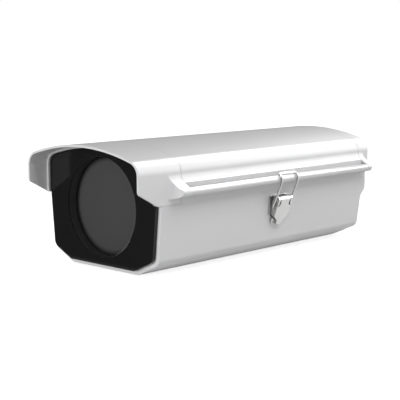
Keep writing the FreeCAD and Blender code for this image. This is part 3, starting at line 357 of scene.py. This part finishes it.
def seal_rubber():
    """Matt black rubber."""
    pit, bloom_width = 0.0006, 0.015
    material, tree, where = finish_named("epdm_rubber")
    pits = put(tree, "ShaderNodeTexNoise", {"Vector": where}, Scale=1 / pit, Detail=2.0)
    bloom = put(tree, "ShaderNodeTexNoise", {"Vector": where}, Scale=1 / bloom_width, Detail=3.0)
    bump = put(tree, "ShaderNodeBump", {"Height": pits.outputs["Fac"]},
               Strength=0.3, Distance=0.00006)
    base = put(tree, "ShaderNodeMix", {"Factor": bloom.outputs["Fac"]},
               {FIRST: colour("#1B1B1B"), SECOND: colour("#262626")}, data_type="RGBA")
    rough = put(tree, "ShaderNodeMapRange", {"Value": pits.outputs["Fac"]},
                To_Min=0.72, To_Max=0.86)
    rubber = put(tree, "ShaderNodeBsdfPrincipled",
                 {"Base Color": base.outputs[MIXED], "Roughness": rough.outputs["Result"],
                  "Normal": bump.outputs["Normal"]}, Specular_IOR_Level=0.35)
    put(tree, "ShaderNodeOutputMaterial", {"Surface": rubber.outputs["BSDF"]})
    return material


RUBBER = seal_rubber()
dress(RUBBER, "bezel_seal", "glass_gasket", "base_seal", "gland_bushes", "camera_washer")

# %% [markdown]
# The cable glands and the ring that holds the glass are black nylon, and the terminal blocks a
# grey-green polyamide. Both are injection-moulded in spark-eroded moulds, so they have a fine
# even grain that takes the edge off their shine. It is drawn at 0.5 mm, coarser than the real
# one, so that it shows.

# %% Moulded nylon


def moulded_nylon(name, first, second, smoothest, roughest):
    """Grained nylon between two colours."""
    grain_width, tone_width, corner = 0.0005, 0.01, 0.0003
    material, tree, where = finish_named(name)
    grain = put(tree, "ShaderNodeTexNoise", {"Vector": where}, Scale=1 / grain_width, Detail=2.0)
    tone = put(tree, "ShaderNodeTexNoise", {"Vector": where}, Scale=1 / tone_width, Detail=2.0)
    soft_edge = put(tree, "ShaderNodeBevel", samples=4, Radius=corner)
    bump = put(tree, "ShaderNodeBump", {"Height": grain.outputs["Fac"],
                                        "Normal": soft_edge.outputs["Normal"]},
               Strength=0.25, Distance=0.00004)
    base = put(tree, "ShaderNodeMix", {"Factor": tone.outputs["Fac"]},
               {FIRST: colour(first), SECOND: colour(second)}, data_type="RGBA")
    rough = put(tree, "ShaderNodeMapRange", {"Value": grain.outputs["Fac"]},
                To_Min=smoothest, To_Max=roughest)
    nylon = put(tree, "ShaderNodeBsdfPrincipled",
                {"Base Color": base.outputs[MIXED], "Roughness": rough.outputs["Result"],
                 "Normal": bump.outputs["Normal"]})
    put(tree, "ShaderNodeOutputMaterial", {"Surface": nylon.outputs["BSDF"]})
    return material


NYLON = moulded_nylon("black_nylon", "#19191A", "#222223", 0.45, 0.6)
TERMINAL = moulded_nylon("grey_green_polyamide", "#4F7A5E", "#466E55", 0.4, 0.55)
dress(NYLON, "glass_retainer", "gland_bodies", "gland_nuts", "gland_locknuts")
dress(TERMINAL, "terminal_blocks")

# %% [markdown]
# The terminal board is woven glass and epoxy, pressed to a sheet and covered with a green solder
# mask. Copper areas below the mask make squarish patches a little lighter, and the weave shows
# as faint bands in the gloss. The bands are drawn 4 mm wide, coarser than the real cloth.

# %% Circuit board


def circuit_board():
    """Green board with patches and a weave."""
    patch, band = 0.009, 0.004
    material, tree, where = finish_named("green_glass_epoxy_board")
    weave = put(tree, "ShaderNodeTexWave", {"Vector": where}, Scale=1 / band,
                Distortion=0.6, bands_direction="X")
    copper = put(tree, "ShaderNodeTexVoronoi", {"Vector": where}, Scale=1 / patch,
                 distance="CHEBYCHEV", feature="F1")
    base = put(tree, "ShaderNodeMix", {"Factor": copper.outputs["Distance"]},
               {FIRST: colour("#1E5B35"), SECOND: colour("#2C7446")}, data_type="RGBA")
    rough = put(tree, "ShaderNodeMapRange", {"Value": weave.outputs["Fac"]},
                To_Min=0.32, To_Max=0.42)
    mask = put(tree, "ShaderNodeBsdfPrincipled",
               {"Base Color": base.outputs[MIXED], "Roughness": rough.outputs["Result"]})
    put(tree, "ShaderNodeOutputMaterial", {"Surface": mask.outputs["BSDF"]})
    return material


BOARD = circuit_board()
dress(BOARD, "terminal_board")
print("dressed", len(dressed), "of", len(NODES))

# %% [markdown]
# Now the small things that the solids leave out. Each is a mesh of its own, built here in
# millimetres and moved to its place in metres. One helper finishes a mesh as an object: its
# normals are set, edges sharper than 35 degrees stay crisp, and it rides on the body that it
# is fixed to.

# %% Finishing a mesh
MM = 0.001
CRISP = math.radians(35)


def piece(name, mesh, material, body):
    """Make a bmesh an object that rides on a body and has the given finish."""
    bmesh.ops.recalc_face_normals(mesh, faces=mesh.faces)
    data = bpy.data.meshes.new(name)
    mesh.to_mesh(data)
    mesh.free()
    data.shade_smooth()
    data.set_sharp_from_angle(angle=CRISP)
    data.materials.append(material)
    item = bpy.data.objects.new(name, data)
    bpy.context.scene.collection.objects.link(item)
    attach(item, body)
    print(name, len(data.polygons), "faces on", body)


# %% [markdown]
# Two more helpers shape the meshes. Round pieces are turned, as a lathe would: a profile is
# spun round the Z axis, and its poles are merged. Equal pieces are copies of one mesh, each
# moved by its own matrix.

# %% Turning and copying
MERGE = 0.002  # points nearer than this, in millimetres, become one


def turned(profile, steps=32):
    """Lathe a profile of (radius, height) points in millimetres round the Z axis."""
    mesh = bmesh.new()
    points = [mesh.verts.new((r * MM, 0, z * MM)) for r, z in profile]
    edges = [mesh.edges.new(pair) for pair in zip(points, points[1:])]
    bmesh.ops.spin(mesh, geom=points + edges, cent=(0, 0, 0), axis=(0, 0, 1),
                   angle=2 * math.pi, steps=steps, use_merge=True)
    bmesh.ops.remove_doubles(mesh, verts=mesh.verts, dist=MERGE * MM)
    return mesh


def add_copies(target, source, places):
    """Copy one mesh into another once for each matrix, and free it."""
    data = bpy.data.meshes.new("copy")
    source.to_mesh(data)
    source.free()
    for place in places:
        start = len(target.verts)
        target.from_mesh(data)
        target.verts.ensure_lookup_table()
        bmesh.ops.transform(target, matrix=place, verts=target.verts[start:])
    bpy.data.meshes.remove(data)


# %% [markdown]
# The terminal screws sit in the round wells of the two blocks. Each is a turned dome with a
# slot. The slot could be a boolean cut, but two planes that split the dome and a strip pushed
# down between them give a cleaner mesh. No two screws stop at the same angle, so each is
# turned a little further than the last. Places and sizes are the CAD model's, in millimetres.

# %% Terminal screws
BLOCK_STARTS, BLOCK_WAYS, BLOCK_PITCH = (-28.0, 6.0), 4, 5.5
BLOCK_Y, WELL_Z = 128.5, 18.1
TURN_EACH = 0.5  # radians
HALF_SLOT, SLOT_FLOOR, HEAD_SIDE = 0.24, 0.45, 0.6
SPLIT_GAP = 1e-7  # points nearer to the splitting plane than this, in metres, lie on it
way_xs = [start + BLOCK_PITCH * (i + 0.5) for start in BLOCK_STARTS for i in range(BLOCK_WAYS)]


def slotted_head():
    """Domed head with a slot along Y."""
    head = turned([(0, 1.3), (0.7, 1.25), (1.25, 1.05), (1.6, 0.65), (1.6, 0), (0, 0)])
    for x in (-HALF_SLOT * MM, HALF_SLOT * MM):
        bmesh.ops.bisect_plane(head, geom=head.verts[:] + head.edges[:] + head.faces[:],
                               plane_co=(x, 0, 0), plane_no=(1, 0, 0), dist=SPLIT_GAP)
    middles = [(face, face.calc_center_median()) for face in head.faces]
    strip = [face for face, middle in middles
             if abs(middle.x) < HALF_SLOT * MM and middle.z > HEAD_SIDE * MM]
    pushed = bmesh.ops.extrude_face_region(head, geom=strip)["geom"]
    bmesh.ops.delete(head, geom=strip, context="FACES")
    for vert in [v for v in pushed if isinstance(v, bmesh.types.BMVert)]:
        vert.co.z = SLOT_FLOOR * MM
    return head


screws = bmesh.new()
add_copies(screws, slotted_head(), [
    Matrix.Translation((x * MM, BLOCK_Y * MM, WELL_Z * MM)) @ Matrix.Rotation(TURN_EACH * i, 4, "Z")
    for i, x in enumerate(way_xs)])
piece("terminal_screws", screws, ZINC, "housing")

# %% [markdown]
# Tinned tracks run from the terminals to a row of plated pads at the rear of the board, 0.05 mm
# proud of it. The outline of a pad is one vertex spun round the pad's middle, and the corners
# of the strip close it. The face is then given its thickness.

# %% Board tracks
BOARD_TOP = 11.6
TRACK_PROUD, TRACK_DEPTH = 0.05, 0.1
TRACK_HALF, TRACK_START, TRACK_END = 0.7, 133.2, 136.9
PAD_Y, PAD_RADIUS, PAD_STEPS = 138.0, 1.3, 20
PAD_FROM, PAD_ANGLE = math.radians(-57), math.radians(294)


def track(x):
    """A strip that ends in a round pad."""
    mesh = bmesh.new()
    top = (BOARD_TOP + TRACK_PROUD) * MM
    pad = Vector((x * MM, PAD_Y * MM, top))
    reach = Vector((math.cos(PAD_FROM), math.sin(PAD_FROM), 0)) * PAD_RADIUS * MM
    bmesh.ops.spin(mesh, geom=[mesh.verts.new(pad + reach)], cent=pad, axis=(0, 0, 1),
                   angle=PAD_ANGLE, steps=PAD_STEPS, use_merge=False)
    for side, y in ((-1, TRACK_END), (-1, TRACK_START), (1, TRACK_START), (1, TRACK_END)):
        mesh.verts.new(((x + side * TRACK_HALF) * MM, y * MM, top))
    face = mesh.faces.new(mesh.verts)
    below = bmesh.ops.extrude_face_region(mesh, geom=[face])["geom"]
    bmesh.ops.translate(mesh, vec=(0, 0, -TRACK_DEPTH * MM),
                        verts=[v for v in below if isinstance(v, bmesh.types.BMVert)])
    return mesh


tracks = bmesh.new()
for x in way_xs:
    add_copies(tracks, track(x), [Matrix.Identity(4)])
piece("board_tracks", tracks, TRACKS, "housing")

# %% [markdown]
# The latch pin is riveted over at both ends: the hammer leaves a low dome outside each flank of
# the lever. Two turned domes look outwards, one to the front and one to the rear.

# %% Riveted pin ends
PIN = Vector((78.6, 15.45, 54.2))
FLANK = Vector((0, 10.14, 0))  # from the middle of the pin to the outside of a flank
rivets = bmesh.new()
for sign in (-1, 1):
    dome = turned([(0, 0.5), (0.8, 0.44), (1.45, 0.27), (1.9, 0), (1.9, -0.12), (0, -0.12)])
    add_copies(rivets, dome, [Matrix.Translation((PIN + sign * FLANK) * MM)
                              @ Matrix.Rotation(-sign * math.pi / 2, 4, "X")])
piece("latch_pin_ends", rivets, STEEL, "lever")

# %% [markdown]
# Threads. The solids have plain shanks, so the ridge of the thread is added where it can be
# seen. A triangle is spun round the Z axis and rises with each step, which makes a helix, and
# the two ends are closed.

# %% Thread ridge
HALF_FOOT = 0.42  # half the width of the ridge at its root, as a share of the pitch


def thread(root, crest, pitch, start, end, steps=36):
    """Helical ridge from root to crest radius between two heights, in millimetres."""
    mesh = bmesh.new()
    foot = HALF_FOOT * pitch
    section = ((root, start - foot), (crest, start), (root, start + foot))
    face = mesh.faces.new([mesh.verts.new((r * MM, 0, z * MM)) for r, z in section])
    turns = (end - start) / pitch
    bmesh.ops.spin(mesh, geom=[face], cent=(0, 0, 0), axis=(0, 0, 1),
                   dvec=(0, 0, pitch / steps * MM), angle=turns * 2 * math.pi,
                   steps=round(turns * steps), use_merge=False)
    bmesh.ops.holes_fill(mesh, edges=mesh.edges, sides=3)
    return mesh


# %% [markdown]
# The camera screw has the quarter-inch thread that fits a camera's tripod socket, with 20 turns
# to the inch, and its ridge is drawn a little proud so that it shows. The glands have a coarse
# metric thread, which shows inside, on the end that stands past the locknut. Their axes run
# along Y, so their ridges are turned from Z to Y.

# %% Camera screw and gland threads
CAMERA_SCREW_Y = -20
GLAND_Y, GLAND_Z, GLAND_XS = 143.5, 25, (-24, 24)

camera_thread = bmesh.new()
add_copies(camera_thread, thread(root=3.05, crest=3.35, pitch=1.27, start=16.6, end=21.2),
           [Matrix.Translation((0, CAMERA_SCREW_Y * MM, 0))])
piece("camera_screw_thread", camera_thread, STEEL, "housing")

gland_thread = bmesh.new()
add_copies(gland_thread, thread(root=7.95, crest=8.3, pitch=1.5, start=0.7, end=2.0), [
    Matrix.Translation((x * MM, GLAND_Y * MM, GLAND_Z * MM))
    @ Matrix.Rotation(-math.pi / 2, 4, "X") for x in GLAND_XS])
piece("gland_threads", gland_thread, NYLON, "housing")

# %% [markdown]
# The studio has a pure white background and only a breath of shadow. A white floor lit as
# bright as that would flood the object from below, so the floor and the room keep two values:
# the one that the camera sees is white, and the one that lights the object is lower. The Light
# Path node tells the kinds of rays apart, and this helper reads it.

# %% Telling rays apart


def seen_by(tree, *rays):
    """1 for a ray of one of these kinds, from the Light Path node, and 0 for any other."""
    path = put(tree, "ShaderNodeLightPath")
    total = path.outputs[rays[0]]
    for name in rays[1:]:
        total = put(tree, "ShaderNodeMath", {0: total, 1: path.outputs[name]},
                    operation="ADD", use_clamp=True).outputs[0]
    return total


# %% [markdown]
# The floor is matt white card with a faint grain. The camera, and any ray that has come through
# glass, sees it lifted to white, a little less near the object than far away, so that the shadow
# stays. Shiny surfaces see it lifted too, but less. In front of the window lies a black flag, as
# a photographer would put one there: only reflections see it, so glass and surround stay dark.

# %% White card
CARD_GRAIN = 0.004
FLOOR_LIFT = (0.80, 1.0)
LIFT_FROM, LIFT_TO = 0.35, 1.6
FLOOR_GLOSS = 0.62
FLAG_Y, FLAG_EDGE = -0.165, 0.02


def white_card():
    """Matt card that the camera sees as white, with a black flag for reflections."""
    material, tree, where = finish_named("white_card")
    grain = put(tree, "ShaderNodeTexNoise", {"Vector": where}, Scale=1 / CARD_GRAIN, Detail=2.0)
    tone = put(tree, "ShaderNodeMix", {"Factor": grain.outputs["Fac"]},
               {FIRST: colour("#C8C8C8"), SECOND: colour("#C6C6C6")}, data_type="RGBA")
    card = put(tree, "ShaderNodeBsdfDiffuse", {"Color": tone.outputs[MIXED]})
    away = put(tree, "ShaderNodeVectorMath", {0: where}, operation="LENGTH")
    rise = put(tree, "ShaderNodeMapRange", {"Value": away.outputs["Value"]}, From_Min=LIFT_FROM,
               From_Max=LIFT_TO, To_Min=FLOOR_LIFT[0], To_Max=FLOOR_LIFT[1])
    seen = put(tree, "ShaderNodeMath", {0: seen_by(tree, "Is Camera Ray", "Is Transmission Ray"),
                                        1: rise.outputs["Result"]}, operation="MULTIPLY")
    glossy = seen_by(tree, "Is Glossy Ray")
    total = put(tree, "ShaderNodeMath", {0: glossy, 2: seen.outputs[0]}, {1: FLOOR_GLOSS},
                operation="MULTIPLY_ADD")
    lift = put(tree, "ShaderNodeEmission", {"Strength": total.outputs[0]}, Color=(1, 1, 1, 1))
    both = put(tree, "ShaderNodeAddShader", {0: card.outputs[0], 1: lift.outputs[0]})
    along = put(tree, "ShaderNodeSeparateXYZ", {"Vector": where}).outputs["Y"]
    before = put(tree, "ShaderNodeMapRange", {"Value": along}, From_Min=FLAG_Y + FLAG_EDGE,
                 From_Max=FLAG_Y)
    flagged = put(tree, "ShaderNodeMath", {0: glossy, 1: before.outputs["Result"]},
                  operation="MULTIPLY")
    black = put(tree, "ShaderNodeEmission", Strength=0.0)
    final = put(tree, "ShaderNodeMixShader",
                {0: flagged.outputs[0], 1: both.outputs[0], 2: black.outputs[0]})
    put(tree, "ShaderNodeOutputMaterial", {"Surface": final.outputs[0]})
    material.cycles.emission_sampling = "NONE"
    return material


CARD = white_card()
print(CARD.name, len(CARD.node_tree.nodes), "nodes")

# %% [markdown]
# The floor itself is one large square, a hair below the object so that the two never share a
# plane.

# %% Floor
FLOOR_HALF = 6.0
HAIR = 0.0004
square = bmesh.new()
bmesh.ops.create_grid(square, x_segments=1, y_segments=1, size=FLOOR_HALF)
floor_mesh = bpy.data.meshes.new("studio_floor")
square.to_mesh(floor_mesh)
square.free()
floor_mesh.materials.append(CARD)
floor = bpy.data.objects.new("studio_floor", floor_mesh)
bpy.context.scene.collection.objects.link(floor)
floor.location = (0, 0, -HAIR)
print("floor", 2 * FLOOR_HALF, "m wide")

# %% [markdown]
# The room is the world behind everything. It is white to the camera and through glass, grey as
# light on the object, and darker still to shiny surfaces, so that their shape shows in clear
# reflections of the lamps.

# %% Room
ROOM = 0.30
ROOM_GLOSS = 0.10


def white_room():
    """World with one strength for each kind of ray."""
    world = bpy.data.worlds.new("white_room")
    world.use_nodes = True
    tree = world.node_tree
    tree.nodes.clear()
    light, gloss, show = [put(tree, "ShaderNodeBackground", Color=(1, 1, 1, 1), Strength=level)
                          for level in (ROOM, ROOM_GLOSS, 1.0)]
    half = put(tree, "ShaderNodeMixShader", {0: seen_by(tree, "Is Glossy Ray"),
                                             1: light.outputs[0], 2: gloss.outputs[0]})
    pick = put(tree, "ShaderNodeMixShader",
               {0: seen_by(tree, "Is Camera Ray", "Is Transmission Ray"),
                1: half.outputs[0], 2: show.outputs[0]})
    put(tree, "ShaderNodeOutputWorld", {"Surface": pick.outputs[0]})
    return world


bpy.context.scene.world = white_room()
print("room", ROOM, "as light,", ROOM_GLOSS, "to gloss")

# %% [markdown]
# The lamps are large soft boxes, as in a product studio: the main one high over the latch side,
# two at the front, and one at each other side. The last three are reflector cards behind the
# object. They light nothing and show in shiny coats alone, where they draw the bright band along
# the lid's shoulder. The two at the front do the opposite: they give light and leave no
# reflection of themselves in the window.

# %% Lamps
MIDDLE = (0, 0, 0.06)
BODY = (0, 0, 0.08)
HOOD = (0, -0.1, 0.08)


def softbox(name, place, aim, width, height, power, diffuse=True, glossy=True):
    """Rectangular lamp, in metres and watts, that may be left out of light or of gloss."""
    lamp = bpy.data.lights.new(name, "AREA")
    lamp.shape = "RECTANGLE"
    lamp.size = width
    lamp.size_y = height
    lamp.energy = power
    item = bpy.data.objects.new(name, lamp)
    item.location = place
    item.rotation_euler = (Vector(aim) - Vector(place)).to_track_quat("-Z", "Y").to_euler()
    item.visible_diffuse = diffuse
    item.visible_glossy = glossy
    bpy.context.scene.collection.objects.link(item)
    print(name, power, "W")


softbox("key_softbox", (1.2, 0.0, 1.5), MIDDLE, 1.4, 0.9, 17.3)
softbox("right_softbox", (1.9, 0.2, 0.35), MIDDLE, 1.4, 0.5, 2.2)
softbox("front_softbox", (0.5, -1.9, 0.6), MIDDLE, 1.2, 0.8, 2.5, glossy=False)
softbox("front_strip", (0.0, -1.9, 0.3), MIDDLE, 1.2, 0.5, 17.7, glossy=False)
softbox("left_softbox", (-1.9, -0.1, 0.35), MIDDLE, 1.2, 0.6, 9.0)
softbox("back_softbox", (0.3, 2.0, 0.5), MIDDLE, 1.2, 0.5, 6.0)
softbox("low_card", (1.1, 1.2, 0.45), BODY, 1.0, 0.5, 18.2, diffuse=False)
softbox("shoulder_card", (0.6, 0.9, 0.75), HOOD, 0.7, 0.5, 12.8, diffuse=False)
softbox("front_card", (0.0, 0.9, 1.0), HOOD, 0.6, 0.4, 24.5, diffuse=False)

# %% [markdown]
# The camera. Its place and lens were worked out from the picture's perspective, so that the
# long edges of the housing close up at the same rate. Colours are shown as they are, without a
# film look.

# %% Camera
CAMERA_PLACE = Vector((0.6704, -0.73295, 0.1868))
CAMERA_AIM = Vector((0.0035, -0.01815, 0.0492))
SENSOR, FOCAL_LENGTH = 36.0, 92.6  # millimetres
lens = bpy.data.cameras.new("studio_camera")
lens.sensor_width = SENSOR
lens.lens = FOCAL_LENGTH
lens.clip_start = 0.05
lens.clip_end = 50.0
camera = bpy.data.objects.new("studio_camera", lens)
camera.location = CAMERA_PLACE
camera.rotation_euler = (CAMERA_AIM - CAMERA_PLACE).to_track_quat("-Z", "Y").to_euler()
bpy.context.scene.collection.objects.link(camera)
bpy.context.scene.camera = camera
bpy.context.scene.view_settings.view_transform = "Standard"
print("camera", [round(c, 3) for c in camera.location])
